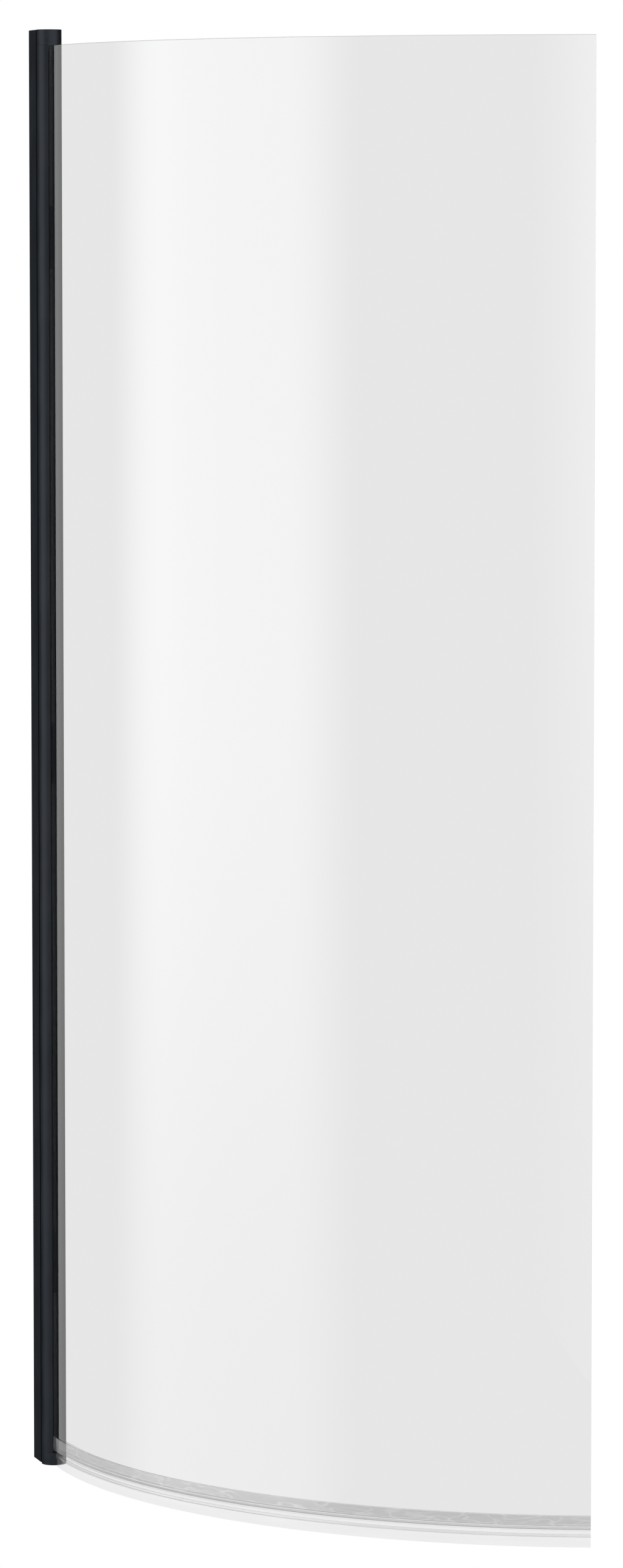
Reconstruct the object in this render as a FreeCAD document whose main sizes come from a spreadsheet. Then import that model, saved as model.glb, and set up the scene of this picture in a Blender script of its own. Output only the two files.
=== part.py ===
import FreeCAD, Part
import os
import Sketcher

# Curved bath screen: a bent glass pane on a round post that swings in a wall profile.
# Row frame in mm: the wall is the plane Y = 0 with the screen on its -Y side, Z is up,
# and the origin is the middle of the line of wall screw holes.

os.makedirs("parts", exist_ok=True)
doc = FreeCAD.newDocument("BathScreen")

# driving sizes
sizes = {
    "profileHeight": 1400,      # wall profile, foot to top
    "wallWidth": 22,
    "wallDepth": 28.5,
    "wallSide": 1.6,
    "wallWeb": 2,
    "lipChamfer": 0.4,
    "wallHoleRadius": 2.6,
    "wallHoleSpacing": 400,
    "axisDistance": 37,         # wall to the pivot axis
    "postRadius": 12,
    "topCapHeight": 15,
    "bottomCapHeight": 12.5,
    "capRear": 2.4,             # wall to the back of the caps
    "capNeckWidth": 12,
    "carrierRear": 6,           # wall to the back of the carrier
    "carrierWall": 1.6,
    "carrierFront": 2.4,        # carrier's front wall at its middle
    "armSetback": 0.6,          # carrier's arms behind the mouth of the wall profile
    "screwPortY": 14,           # wall to the screw port
    "screwPortRadius": 3.6,
    "slideClearance": 0.2,      # carrier in the wall profile
    "cradleGap": 0.6,           # post to the carrier's cradle
    "gasketGap": 0.3,           # post to the cradle gasket
    "gasketWidth": 4,
    "gasketDepth": 1.4,
    "fixScrewSpacing": 500,
    "fixScrewY": 13,
    "fixScrewRadius": 1.95,
    "fixScrewLength": 6.5,
    "fixHeadRadius": 3.8,
    "fixHeadHeight": 2.4,
    "fixHoleClearance": 0.35,
    "seatRadius": 5.2,
    "seatThick": 0.8,
    "coverRadius": 5.8,
    "coverWall": 0.8,
    "capScrewRadius": 1.7,
    "capScrewLength": 25,
    "capScrewClearance": 0.5,
    "capHeadRadius": 3.7,
    "capHeadHeight": 2.6,
    "recessRadius": 4.2,
    "recessDepth": 6,
    "plugThick": 1.6,
    "driveWidth": 0.9,
    "driveSpan": 4.2,
    "driveDepth": 1.4,
    "pinRadius": 2.5,
    "pinInCap": 10,
    "pinInPost": 12,
    "washerRadius": 4.5,
    "washerThick": 0.5,
    "washerSink": 0.4,          # washers sit this deep in the caps
    "runClearance": 0.05,       # pins in the bushes, post ends to the washers
    "bushWall": 0.95,
    "bushLength": 14,
    "slotFloor": 4.4,           # pivot axis to the floor of the slot
    "hollowInner": 5.4,
    "hollowOuter": 10,
    "hollowTurn": 220,
    "ribThick": 1.6,
    "glassThick": 6,
    "glassRadius": 550,         # outer face of the pane
    "glassTurn": 71.8,
    "glassFoot": 19.4,          # foot of the profile to the pane's lower edge
    "glassArris": 0.6,
    "strikeGap": 0.6,           # top of the pane to the underside of the top cap
    "tongueFront": 12,          # pivot axis to the start of the bend
    "packerThick": 0.8,
    "packerLength": 60,
    "stripThick": 0.7,          # gaskets beside the glass
    "stripFront": 11.8,
    "stripTopGap": 5,
    "sealStart": 3,             # gap between the post and the seal, along the pane
    "sealLeg": 1.3,
    "sealGrip": 10.4,
    "sealBackGrip": 8,          # the leg on the hollow side is shorter
    "sealWebSide": 3.2,
    "sealWeb": 5.2,
    "neckHalf": 1,
    "bulbTop": 7.4,
    "bulbSide": 1,
    "bulbHalf": 2,
    "bulbFoot": 11,
    "finHalf": 0.6,
    "finFoot": 20.1,
}

sheet = doc.addObject("Spreadsheet::Sheet", "Sizes")
for row, (name, value) in enumerate(sizes.items(), start=1):
    sheet.set("A%d" % row, name)
    sheet.set("B%d" % row, str(value))
    sheet.setAlias("B%d" % row, name)
doc.recompute()


def words(text):
    # an expression may name sizes plainly: each name becomes a cell of the sheet
    out = []
    word = ""
    for letter in text + " ":
        if letter.isalpha():
            word += letter
            continue
        out.append("Sizes." + word if word in sizes else word)
        word = ""
        out.append(letter)
    return "".join(out).strip()


def bind(thing, prop, text):
    thing.setExpression(prop, words(text))


def place(thing, x, y, z):
    bind(thing, "Placement.Base.x", x)
    bind(thing, "Placement.Base.y", y)
    bind(thing, "Placement.Base.z", z)


def box(name, spanX, spanY, z0, z1):
    # an upright block between two X, two Y and two Z expressions
    thing = doc.addObject("Part::Box", name)
    bind(thing, "Length", "(%s) - (%s)" % (spanX[1], spanX[0]))
    bind(thing, "Width", "(%s) - (%s)" % (spanY[1], spanY[0]))
    bind(thing, "Height", "(%s) - (%s)" % (z1, z0))
    place(thing, spanX[0], spanY[0], z0)
    return thing


def rod(name, radius, x, y, z0, z1, turn=None):
    # an upright cylinder, or a sector of one
    thing = doc.addObject("Part::Cylinder", name)
    bind(thing, "Radius", radius)
    bind(thing, "Height", "(%s) - (%s)" % (z1, z0))
    if turn:
        bind(thing, "Angle", turn)
    place(thing, x, y, z0)
    return thing


def crossRod(name, radius, length, axis, x, y, z):
    # a cylinder that lies along +X or +Y
    thing = doc.addObject("Part::Cylinder", name)
    bind(thing, "Radius", radius)
    bind(thing, "Height", length)
    if axis == "x":
        turned = FreeCAD.Rotation(FreeCAD.Vector(0, 1, 0), 90)
    else:
        turned = FreeCAD.Rotation(FreeCAD.Vector(1, 0, 0), -90)
    thing.Placement = FreeCAD.Placement(FreeCAD.Vector(), turned)
    place(thing, x, y, z)
    return thing


def join(name, things):
    thing = doc.addObject("Part::MultiFuse", name)
    thing.Shapes = things
    return thing


def cut(name, base, tools):
    thing = doc.addObject("Part::Cut", name)
    thing.Base = base
    thing.Tool = tools[0] if len(tools) == 1 else join(name + "Tools", tools)
    return thing


def group(name, things):
    thing = doc.addObject("Part::Compound", name)
    thing.Links = things
    return thing


def outline(body, plane, name, points):
    # a closed line through points given as pairs of expressions
    sketch = body.newObject("Sketcher::SketchObject", name)
    for feature in body.Origin.OriginFeatures:
        if feature.Role == plane:
            sketch.AttachmentSupport = [(feature, "")]
    sketch.MapMode = "FlatFace"
    spots = []
    for pair in points:
        numbers = [float(sheet.evalExpression(words(text))) for text in pair]
        spots.append(FreeCAD.Vector(numbers[0], numbers[1], 0))
    count = len(spots)
    for i in range(count):
        sketch.addGeometry(Part.LineSegment(spots[i], spots[(i + 1) % count]))
    for i in range(count):
        sketch.addConstraint(Sketcher.Constraint("Coincident", i, 2, (i + 1) % count, 1))
    for i in range(count):
        for kind, axis in (("DistanceX", 0), ("DistanceY", 1)):
            at = sketch.addConstraint(Sketcher.Constraint(kind, -1, 1, i, 1, spots[i][axis]))
            bind(sketch, "Constraints[%d]" % at, points[i][axis])
    return sketch


def pad(body, name, sketch, length):
    thing = body.newObject("PartDesign::Pad", name)
    thing.Profile = sketch
    bind(thing, "Length", length)
    return thing


def revolve(body, name, sketch, angle):
    thing = body.newObject("PartDesign::Revolution", name)
    thing.Profile = sketch
    thing.ReferenceAxis = (sketch, ["V_Axis"])
    bind(thing, "Angle", angle)
    return thing


# levels, from the middle of the profile
foot = "-profileHeight / 2"
head = "profileHeight / 2"
underCap = "(profileHeight / 2 - topCapHeight)"
overCap = "(bottomCapHeight - profileHeight / 2)"
postTop = "(%s - washerThick + washerSink - runClearance)" % underCap
postFoot = "(%s + washerThick - washerSink + runClearance)" % overCap
glassTop = "(%s - strikeGap)" % underCap
glassLow = "(glassFoot - profileHeight / 2)"
pivotY = "-axisDistance"
carrierHalf = "(wallWidth / 2 - wallSide - slideClearance)"
levels = ("-1", "0", "1")

# wall profile: a channel that opens away from the wall
wallBody = doc.addObject("PartDesign::Body", "WallChannel")
half = "wallWidth / 2"
inner = "(wallWidth / 2 - wallSide)"
channel = [
    ("-%s" % half, "0"),
    ("-%s" % half, "lipChamfer - wallDepth"),
    ("lipChamfer - %s" % half, "-wallDepth"),
    ("-%s" % inner, "-wallDepth"),
    ("-%s" % inner, "-wallWeb"),
    (inner, "-wallWeb"),
    (inner, "-wallDepth"),
    ("%s - lipChamfer" % half, "-wallDepth"),
    (half, "lipChamfer - wallDepth"),
    (half, "0"),
]
pad(wallBody, "ChannelPad", outline(wallBody, "XY_Plane", "ChannelSection", channel), "profileHeight")
place(wallBody, "0", "0", foot)
wallTools = []
for step in ("-1.5", "-0.5", "0.5", "1.5"):
    wallTools.append(crossRod("WallHole", "wallHoleRadius", "wallWeb + 2", "y",
                              "0", "-wallWeb - 1", "%s * wallHoleSpacing" % step))
for step in levels:
    wallTools.append(crossRod("FixHole", "fixScrewRadius + fixHoleClearance", "wallSide + 2", "x",
                              "%s - 1" % inner, "-fixScrewY", "%s * fixScrewSpacing" % step))
wallProfile = cut("wall_profile", wallBody, wallTools)

# carrier: a box that slides in the channel, its front hollowed round the post
cradleRadius = "(postRadius + cradleGap)"
carrierFace = "(axisDistance - %s)" % cradleRadius
carrierBlock = box("CarrierBlock", ("-%s" % carrierHalf, carrierHalf),
                   ("armSetback - wallDepth", "-carrierRear"), overCap, underCap)
carrierRoom = box("CarrierRoom", ("carrierWall - %s" % carrierHalf, "%s - carrierWall" % carrierHalf),
                  ("carrierFront - %s" % carrierFace, "-carrierRear - carrierWall"),
                  "%s - 1" % overCap, "%s + 1" % underCap)
portWall = rod("PortWall", "screwPortRadius", "0", "-screwPortY", "%s - 2" % overCap, "%s + 2" % underCap)
portWeb = box("PortWeb", ("-carrierWall / 2", "carrierWall / 2"), ("-screwPortY", "-carrierRear"),
              "%s - 2" % overCap, "%s + 2" % underCap)
carrierTools = [
    cut("CarrierVoid", carrierRoom, [portWall, portWeb]),
    rod("CradleTool", cradleRadius, "0", pivotY, "%s - 1" % overCap, "%s + 1" % underCap),
    rod("PortHole", "capScrewRadius", "0", "-screwPortY", "%s - 1" % overCap, "%s + 1" % underCap),
    box("GasketGroove", ("-gasketWidth / 2", "gasketWidth / 2"),
        ("-axisDistance", "gasketDepth - %s" % carrierFace), "%s - 1" % overCap, "%s + 1" % underCap),
]
for step in levels:
    carrierTools.append(crossRod("CarrierFixHole", "fixScrewRadius", "carrierWall + 2", "x",
                                 "%s - carrierWall - 1" % carrierHalf, "-fixScrewY",
                                 "%s * fixScrewSpacing" % step))
carrier = cut("carrier_profile", carrierBlock, carrierTools)

cradleStrip = box("CradleStrip", ("-gasketWidth / 2", "gasketWidth / 2"),
                  ("-axisDistance", "gasketDepth - %s" % carrierFace), overCap, underCap)
cradleGasket = cut("cradle_gasket", cradleStrip, [
    rod("CradleStripTool", "postRadius + gasketGap", "0", pivotY, "%s - 1" % overCap, "%s + 1" % underCap)])

# adjusting screws through the inner side of the channel, with cup washers and covers
seatFace = "wallWidth / 2"
headFace = "(wallWidth / 2 + seatThick)"
fixScrews = []
fixSeats = []
fixCovers = []
for step in levels:
    level = "%s * fixScrewSpacing" % step
    shank = crossRod("FixShank", "fixScrewRadius", "fixScrewLength + seatThick", "x",
                     "%s - fixScrewLength" % seatFace, "-fixScrewY", level)
    screwHead = crossRod("FixHead", "fixHeadRadius", "fixHeadHeight", "x", headFace, "-fixScrewY", level)
    slot = box("FixSlot", ("%s + fixHeadHeight - driveDepth" % headFace, "%s + fixHeadHeight + 1" % headFace),
               ("-fixScrewY - driveWidth / 2", "-fixScrewY + driveWidth / 2"),
               "%s - driveSpan / 2" % level, "%s + driveSpan / 2" % level)
    cross = box("FixCross", ("%s + fixHeadHeight - driveDepth" % headFace, "%s + fixHeadHeight + 1" % headFace),
                ("-fixScrewY - driveSpan / 2", "-fixScrewY + driveSpan / 2"),
                "%s - driveWidth / 2" % level, "%s + driveWidth / 2" % level)
    fixScrews.append(cut("FixScrew", join("FixBlank", [shank, screwHead]), [slot, cross]))
    seat = crossRod("FixSeat", "seatRadius", "seatThick", "x", seatFace, "-fixScrewY", level)
    seatHole = crossRod("SeatHole", "fixScrewRadius", "seatThick + 2", "x", "%s - 1" % seatFace, "-fixScrewY", level)
    fixSeats.append(cut("CupWasher", seat, [seatHole]))
    cover = crossRod("CoverBlank", "coverRadius", "seatThick + fixHeadHeight + 2 * coverWall", "x",
                     seatFace, "-fixScrewY", level)
    coverRoom = crossRod("CoverRoom", "seatRadius", "seatThick + fixHeadHeight + coverWall + 1", "x",
                         "%s - 1" % seatFace, "-fixScrewY", level)
    fixCovers.append(cut("SnapCover", cover, [coverRoom]))
group("adjusting_screws", fixScrews)
group("cover_seats", fixSeats)
group("screw_covers", fixCovers)


# caps: a block in the channel, a neck and a round head over the post
def makeCap(name, low, high, outer, inward):
    block = box(name + "Block", ("-%s" % carrierHalf, carrierHalf), ("armSetback - wallDepth", "-capRear"), low, high)
    neck = box(name + "Neck", ("-capNeckWidth / 2", "capNeckWidth / 2"), (pivotY, "-wallDepth / 2"), low, high)
    knob = rod(name + "Head", "postRadius", "0", pivotY, low, high)
    through = rod(name + "Through", "capScrewRadius + capScrewClearance", "0", "-screwPortY",
                  "%s - 1" % low, "%s + 1" % high)
    if inward < 0:
        recess = rod(name + "Recess", "recessRadius", "0", "-screwPortY", "%s - recessDepth" % outer, "%s + 1" % outer)
        pinHole = rod(name + "PinHole", "pinRadius", "0", pivotY, "%s - 1" % low, "%s + pinInCap" % low)
        pocket = rod(name + "Pocket", "washerRadius", "0", pivotY, "%s - 1" % low, "%s + washerSink" % low)
    else:
        recess = rod(name + "Recess", "recessRadius", "0", "-screwPortY", "%s - 1" % outer, "%s + recessDepth" % outer)
        pinHole = rod(name + "PinHole", "pinRadius", "0", pivotY, "%s - pinInCap" % high, "%s + 1" % high)
        pocket = rod(name + "Pocket", "washerRadius", "0", pivotY, "%s - washerSink" % high, "%s + 1" % high)
    return cut(name, join(name + "Solid", [block, neck, knob]), [through, recess, pinHole, pocket])


makeCap("top_cap", underCap, head, head, -1)
makeCap("bottom_cap", foot, overCap, foot, 1)

# screws, plugs, pins, washers and bushes at both ends, drawn from the outside inwards
capScrews = []
capPlugs = []
pins = []
washers = []
bushes = []
for end, sign, capFace, postEnd in ((head, "-1", underCap, postTop), (foot, "1", overCap, postFoot)):
    def span(start, depth):
        # two levels in rising order, from a start level inwards by a depth
        ends = ["(%s)" % start, "(%s + %s * (%s))" % (start, sign, depth)]
        return ends if sign == "1" else ends[::-1]
    seatLevel = "(%s + %s * (recessDepth - capHeadHeight))" % (end, sign)
    capHead = rod("CapHead", "capHeadRadius", "0", "-screwPortY", *span(seatLevel, "capHeadHeight"))
    capShank = rod("CapShank", "capScrewRadius", "0", "-screwPortY",
                   *span(seatLevel, "capHeadHeight + capScrewLength"))
    driveSlot = box("CapSlot", ("-driveWidth / 2", "driveWidth / 2"),
                    ("-screwPortY - driveSpan / 2", "-screwPortY + driveSpan / 2"), *span(seatLevel, "driveDepth"))
    driveCross = box("CapCross", ("-driveSpan / 2", "driveSpan / 2"),
                     ("-screwPortY - driveWidth / 2", "-screwPortY + driveWidth / 2"), *span(seatLevel, "driveDepth"))
    capScrews.append(cut("CapScrew", join("CapBlank", [capHead, capShank]), [driveSlot, driveCross]))
    capPlugs.append(rod("CapPlug", "recessRadius", "0", "-screwPortY", *span(end, "plugThick")))
    pinStart = "(%s - %s * pinInCap)" % (capFace, sign)
    pins.append(rod("Pin", "pinRadius", "0", pivotY, *span(pinStart, "pinInCap + pinInPost")))
    washerStart = "(%s - %s * washerSink)" % (capFace, sign)
    washer = rod("WasherBlank", "washerRadius", "0", pivotY, *span(washerStart, "washerThick"))
    washerHole = rod("WasherHole", "pinRadius", "0", pivotY, *span("%s - %s" % (washerStart, sign), "washerThick + 2"))
    washers.append(cut("Washer", washer, [washerHole]))
    bush = rod("BushBlank", "pinRadius + runClearance + bushWall", "0", pivotY, *span(postEnd, "bushLength"))
    bushHole = rod("BushHole", "pinRadius + runClearance", "0", pivotY,
                   *span("%s - %s" % (postEnd, sign), "bushLength + 2"))
    bushes.append(cut("Bush", bush, [bushHole]))
group("cap_screws", capScrews)
group("cap_plugs", capPlugs)
group("pivot_pins", pins)
group("thrust_washers", washers)
group("pivot_bushes", bushes)

# post: a round extrusion with a bore for the bushes, two hollows and the slot for the glass
slotHalf = "(glassThick / 2 + stripThick)"
pastFoot = "%s - 1" % postFoot
pastTop = "%s + 1" % postTop
postBlank = rod("PostBlank", "postRadius", "0", pivotY, postFoot, postTop)
bore = rod("PostBore", "pinRadius + runClearance + bushWall", "0", pivotY, pastFoot, pastTop)
slotTool = box("PostSlot", ("-%s" % slotHalf, slotHalf), ("-axisDistance - postRadius - 1", "-axisDistance - slotFloor"),
               pastFoot, pastTop)
hollowSector = rod("HollowSector", "hollowOuter", "0", pivotY, pastFoot, pastTop, "hollowTurn")
bind(hollowSector, "Placement.Rotation.Angle", "90 - hollowTurn / 2")
hollowCore = rod("HollowCore", "hollowInner", "0", pivotY, "%s - 1" % pastFoot, "%s + 1" % pastTop)
rib = box("PostRib", ("-ribThick / 2", "ribThick / 2"), ("-axisDistance", "postRadius - axisDistance"),
          "%s - 1" % pastFoot, "%s + 1" % pastTop)
cut("post", postBlank, [bore, slotTool, cut("PostHollows", hollowSector, [hollowCore, rib])])

# strips on both faces of the glass in the slot
stripBack = "-axisDistance - slotFloor - packerThick"
stripFace = "-axisDistance - stripFront"
stripTop = "%s - stripTopGap" % glassTop
box("outer_gasket", ("-%s" % slotHalf, "-glassThick / 2"), (stripFace, stripBack), glassLow, stripTop)
box("inner_gasket", ("glassThick / 2", slotHalf), (stripFace, stripBack), glassLow, stripTop)

# packers and adhesive between the edge of the glass and the floor of the slot
edgeX = ("-glassThick / 2", "glassThick / 2")
edgeY = (stripBack, "-axisDistance - slotFloor")
packers = []
bonds = []
start = glassLow
for step in levels:
    low = "%s * fixScrewSpacing - packerLength / 2" % step
    high = "%s * fixScrewSpacing + packerLength / 2" % step
    packers.append(box("Packer", edgeX, edgeY, low, high))
    bonds.append(box("Bond", edgeX, edgeY, start, low))
    start = high
bonds.append(box("Bond", edgeX, edgeY, start, glassTop))
group("edge_packers", packers)
group("edge_bond", bonds)

# pane: a flat tongue in the slot and a bend with its outer face to the left
paneBody = doc.addObject("PartDesign::Body", "glass_pane")
paneHeight = "(%s - %s)" % (glassTop, glassLow)
near = "glassRadius - glassThick"
bendSection = [
    ("%s + glassArris" % near, "0"),
    ("glassRadius - glassArris", "0"),
    ("glassRadius", "glassArris"),
    ("glassRadius", "%s - glassArris" % paneHeight),
    ("glassRadius - glassArris", paneHeight),
    ("%s + glassArris" % near, paneHeight),
    (near, "%s - glassArris" % paneHeight),
    (near, "glassArris"),
]
bend = revolve(paneBody, "Bend", outline(paneBody, "XZ_Plane", "BendSection", bendSection), "glassTurn")
tongue = [
    (near, "0"),
    ("glassRadius", "0"),
    ("glassRadius", "-(tongueFront - slotFloor - packerThick)"),
    (near, "-(tongueFront - slotFloor - packerThick)"),
]
pad(paneBody, "Tongue", outline(paneBody, "XY_Plane", "TongueSection", tongue), paneHeight)
halfTurn = FreeCAD.Rotation(FreeCAD.Vector(0, 0, 1), 180)
paneBody.Placement = FreeCAD.Placement(FreeCAD.Vector(), halfTurn)
bendX = "glassRadius - glassThick / 2"
bendY = "-axisDistance - tongueFront"
place(paneBody, bendX, bendY, glassLow)

# seal: grip channel on the lower edge, neck, bulb and fin
sealBody = doc.addObject("PartDesign::Body", "bottom_seal")
middle = "glassRadius - glassThick / 2"
outerHalf = "(glassThick / 2 + sealLeg)"


def sealHalf(grip):
    # one half of the section, from the glass round a leg of the grip down to the fin
    return [
        ("glassThick / 2", "0"),
        ("glassThick / 2", grip),
        ("%s - lipChamfer" % outerHalf, grip),
        (outerHalf, "%s - lipChamfer" % grip),
        (outerHalf, "-sealWebSide"),
        ("neckHalf", "-sealWeb"),
        ("neckHalf", "-bulbTop"),
        ("bulbHalf", "-bulbTop - bulbSide"),
        ("bulbHalf", "bulbSide - bulbFoot"),
        ("finHalf", "-bulbFoot"),
        ("finHalf", "-finFoot"),
    ]


sealSection = [("%s + %s" % (middle, x), z) for x, z in sealHalf("sealGrip")]
sealSection += [("%s - %s" % (middle, x), z) for x, z in sealHalf("sealBackGrip")[::-1]]
sealTurn = "(sealStart / (glassRadius - glassThick / 2) * 180 / pi)"
revolve(sealBody, "SealSweep", outline(sealBody, "XZ_Plane", "SealSection", sealSection), "glassTurn - %s" % sealTurn)
sealBody.Placement = FreeCAD.Placement(FreeCAD.Vector(), halfTurn)
place(sealBody, bendX, bendY, glassLow)
bind(sealBody, "Placement.Rotation.Angle", "180 + %s" % sealTurn)

doc.recompute()

nodes = [
    "wall_profile", "carrier_profile", "cradle_gasket", "adjusting_screws", "cover_seats",
    "screw_covers", "top_cap", "bottom_cap", "cap_screws", "cap_plugs", "pivot_pins",
    "thrust_washers", "post", "pivot_bushes", "outer_gasket", "inner_gasket",
    "edge_packers", "edge_bond", "glass_pane", "bottom_seal",
]
for thing in doc.Objects:
    if "Invalid" in thing.State or "Error" in thing.State:
        raise RuntimeError("%s: %s" % (thing.Label, thing.State))
for name in nodes:
    shape = doc.getObjectsByLabel(name)[0].Shape
    if shape.isNull() or not shape.isValid():
        raise RuntimeError("bad shape: " + name)
    shape.exportStep("parts/%s.step" % name)
    box3 = shape.BoundBox
    print(name, len(shape.Solids), "solids",
          [round(v, 2) for v in (box3.XMin, box3.XMax, box3.YMin, box3.YMax, box3.ZMin, box3.ZMax)])
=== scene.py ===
import bmesh
import bpy
from math import atan2, pi, radians
from mathutils import Matrix, Vector


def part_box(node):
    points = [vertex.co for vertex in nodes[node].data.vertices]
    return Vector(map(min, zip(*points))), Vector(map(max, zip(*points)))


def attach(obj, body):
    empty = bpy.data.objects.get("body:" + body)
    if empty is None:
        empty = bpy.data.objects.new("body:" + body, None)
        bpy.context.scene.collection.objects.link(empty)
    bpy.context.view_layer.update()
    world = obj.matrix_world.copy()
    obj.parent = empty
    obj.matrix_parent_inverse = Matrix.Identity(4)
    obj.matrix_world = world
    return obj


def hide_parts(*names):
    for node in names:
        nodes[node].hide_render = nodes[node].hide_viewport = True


# Curved bath screen on a round black post. Metres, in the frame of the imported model:
# wall plane at y = 0, screen on its -y side, z up.

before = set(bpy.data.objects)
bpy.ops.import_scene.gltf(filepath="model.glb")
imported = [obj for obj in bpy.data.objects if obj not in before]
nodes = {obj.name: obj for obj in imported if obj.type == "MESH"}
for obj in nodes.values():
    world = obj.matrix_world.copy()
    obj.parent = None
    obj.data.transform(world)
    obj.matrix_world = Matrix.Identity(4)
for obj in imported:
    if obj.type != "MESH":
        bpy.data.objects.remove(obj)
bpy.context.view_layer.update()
paneLow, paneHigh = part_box("glass_pane")
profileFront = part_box("wall_profile")[0].y      # its lips, beside the post
scene = bpy.context.scene

mm = 0.001
pivotY = -37 * mm           # upright axis that the post turns about
over = 1 * mm               # how far a cutting shape stands past the surface
slack = 0.01 * mm           # spots nearer than this are one
poleSlack = 0.002 * mm      # the same where a turned profile closes
nearby = 0.1 * mm           # close enough to pick an edge by its place
creaseAngle = 30            # degrees: steeper edges stay sharp
softAngle = 25              # the same on small round shapes
tilted = 0.3                # z of a normal from which a face looks up or down
roundSteps = 48             # sides of a round hole or a turned piece
smallSteps = 32             # sides of the smallest holes


def shade(bm, name, material, sharpAngle=creaseAngle):
    # a finished mesh object at the origin, smooth but for its real edges
    bmesh.ops.recalc_face_normals(bm, faces=bm.faces)
    mesh = bpy.data.meshes.new(name)
    bm.to_mesh(mesh)
    bm.free()
    mesh.shade_smooth()
    mesh.set_sharp_from_angle(angle=radians(sharpAngle))
    mesh.materials.append(material)
    piece = bpy.data.objects.new(name, mesh)
    scene.collection.objects.link(piece)
    return piece


def dress(piece, body, slotName, *cadNodes):
    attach(piece, body)
    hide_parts(*cadNodes)


def carve(piece, bm):
    # takes a shape out of the piece
    mesh = bpy.data.meshes.new("cutter")
    bm.to_mesh(mesh)
    bm.free()
    tool = bpy.data.objects.new("cutter", mesh)
    scene.collection.objects.link(tool)
    carving = piece.modifiers.new("carve", "BOOLEAN")
    carving.operation = "DIFFERENCE"
    carving.solver = "EXACT"
    carving.object = tool
    bpy.context.view_layer.update()
    graph = bpy.context.evaluated_depsgraph_get()
    carved = bpy.data.meshes.new_from_object(piece.evaluated_get(graph))
    piece.modifiers.clear()
    piece.data = carved
    carved.shade_smooth()
    carved.set_sharp_from_angle(angle=radians(creaseAngle))
    bpy.data.objects.remove(tool)


def drill(piece, radius, y, start, end, steps=roundSteps):
    # an upright round hole on x = 0, between two levels
    low, high = sorted((start, end))
    rod = bmesh.new()
    bmesh.ops.create_cone(rod, cap_ends=True, segments=steps, radius1=radius, radius2=radius,
                          depth=high - low, matrix=Matrix.Translation((0, y, (low + high) / 2)))
    carve(piece, rod)


def addBox(bm, low, high):
    low, high = Vector(low), Vector(high)
    place = Matrix.Translation((high + low) / 2)
    bmesh.ops.create_cube(bm, size=1, matrix=place @ Matrix.Diagonal((*(high - low), 1)))


def spinProfile(bm, points, centre, axis):
    # turns a profile about a line; each point is a spot in space
    verts = [bm.verts.new(spot) for spot in points]
    edges = [bm.edges.new(pair) for pair in zip(verts, verts[1:])]
    bmesh.ops.spin(bm, geom=verts + edges, cent=centre, axis=axis, angle=2 * pi, steps=roundSteps,
                   use_merge=True)
    bmesh.ops.remove_doubles(bm, verts=bm.verts, dist=poleSlack)


def raiseFaces(bm, height):
    grown = bmesh.ops.extrude_face_region(bm, geom=bm.faces[:])["geom"]
    tops = [part for part in grown if isinstance(part, bmesh.types.BMVert)]
    bmesh.ops.translate(bm, vec=(0, 0, height), verts=tops)
    bmesh.ops.recalc_face_normals(bm, faces=bm.faces)


def raisePlate(bm, start, turn, steps, corners, height):
    # a plate bounded by an arc about the pivot and a line through the corners, raised into a block
    first = bm.verts.new(start)
    bmesh.ops.spin(bm, geom=[first], cent=(0, pivotY, 0), axis=(0, 0, 1), angle=turn, steps=steps,
                   use_merge=False)
    ends = sorted((v for v in bm.verts if len(v.link_edges) == 1), key=lambda v: v.co.x)
    walk = [ends[0], *(bm.verts.new((x, y, start[2])) for x, y in corners), ends[1]]
    for pair in zip(walk, walk[1:]):
        bm.edges.new(pair)
    bmesh.ops.contextual_create(bm, geom=bm.edges[:])
    raiseFaces(bm, height)


def sharpEdges(bm, above=40):
    return [e for e in bm.edges if len(e.link_faces) == 2 and e.calc_face_angle(0) > radians(above)]


def isUpright(edge):
    return abs(edge.verts[0].co.z - edge.verts[1].co.z) > 1 * mm


def liesAt(edge, axis, level):
    return all(abs(getattr(v.co, axis) - level) < slack for v in edge.verts)


def roundEdges(bm, edges, width, steps=2):
    bmesh.ops.bevel(bm, geom=edges, offset=width, offset_type="OFFSET", segments=steps, profile=0.5,
                    affect="EDGES", material=-1, clamp_overlap=True)


# finishes, all from nodes
noiseSpan = (0.3, 0.7)      # most of a noise lies in here
paint = {
    "base": (0.0195, 0.022, 0.0255),
    "dark": (0.0175, 0.0198, 0.023),
    "light": (0.0215, 0.0242, 0.028),
    "metal": 0.6,
    "glare": (0.38, 0.38, 0.38, 1),     # what is left of the shine at flat angles
}
lipPaintedShade = {                # painted shade on the lips of the wall profile beside the post, measured from its front
    "start": 0.45 * mm,
    "end": 0.6 * mm,
    "share": 0.12,
}
webPaintedShade = {                # painted shade line in the seal's web, measured down from the pane
    "top": 0.6 * mm,
    "foot": 3 * mm,
    "dark": 0.7,
    "light": 0.9,
}
contactLines = {            # brighter lines in the seal's grip, where its noise is nearest to the middle
    "core": 0.008,
    "end": 0.03,
    "bright": (0.965, 0.965, 0.965, 1),
    "plain": (0.876, 0.876, 0.876, 1),
}


def startMaterial(name, base, rough, metal=0.0, specular=0.5):
    # a Principled shader with its plain values on its own sockets
    material = bpy.data.materials.new(name)
    material.use_nodes = True
    material.diffuse_color = (*base, 1)
    tree = material.node_tree
    shader = tree.nodes["Principled BSDF"]
    shader.inputs["Base Color"].default_value = (*base, 1)
    shader.inputs["Roughness"].default_value = rough
    shader.inputs["Metallic"].default_value = metal
    shader.inputs["Specular IOR Level"].default_value = specular
    return material, tree, shader


def feed(tree, source, socket):
    # a socket gets a link or a plain value
    if isinstance(source, bpy.types.NodeSocket):
        tree.links.new(source, socket)
    else:
        socket.default_value = source


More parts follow.
